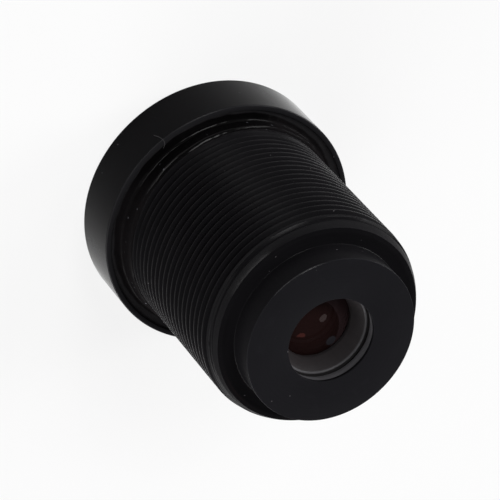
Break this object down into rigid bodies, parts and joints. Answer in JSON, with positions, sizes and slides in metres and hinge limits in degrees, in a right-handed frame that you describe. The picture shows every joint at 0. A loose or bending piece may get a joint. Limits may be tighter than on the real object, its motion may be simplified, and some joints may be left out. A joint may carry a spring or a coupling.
{
  "type": "cctv lens",
  "caption": "Fixed-focus surveillance camera lens with a round hood head, a finely threaded barrel and a short nose that opens on a coated rear element.",
  "frame": {"origin": "centre of the front rim of the head, in the plane on which the lens stands", "axes": "+Z along the optical axis, from the head up to the nose that faces the sensor; +X and +Y are square to it"},
  "size_m": [0.014, 0.014, 0.0159],
  "materials": {
    "barrel_anodised": "black anodised, fine turned, satin",
    "head_anodised": "black anodised, smooth turned, satin",
    "thread_adhesive": "cured black adhesive, glossy",
    "o_ring_rubber": "matte black",
    "front_glass": "polished, coated",
    "inner_glass": "polished, coated",
    "rear_glass": "polished, reddish coating",
    "inner_anodised": "black anodised, dull",
    "baffle_film": "blackened film, dead matte",
    "nose_ring_anodised": "black anodised, turned"
  },
  "bodies": {
    "root": {"barrel": "barrel_anodised", "front_head": "head_anodised", "adhesive_bead": "thread_adhesive", "front_o_ring": "o_ring_rubber", "front_lens": "front_glass", "front_baffle": "baffle_film", "inner_retaining_ring": "inner_anodised", "second_lens": "inner_glass", "second_baffle": "baffle_film", "third_lens": "inner_glass", "stop_front_spacer": "inner_anodised", "aperture_stop": "baffle_film", "stop_rear_spacer": "inner_anodised", "doublet_crown": "inner_glass", "doublet_flint": "inner_glass", "rear_baffle": "baffle_film", "rear_spacer": "inner_anodised", "rear_lens": "rear_glass", "nose_baffle": "baffle_film", "nose_ring": "nose_ring_anodised"}
  },
  "joints": []
}
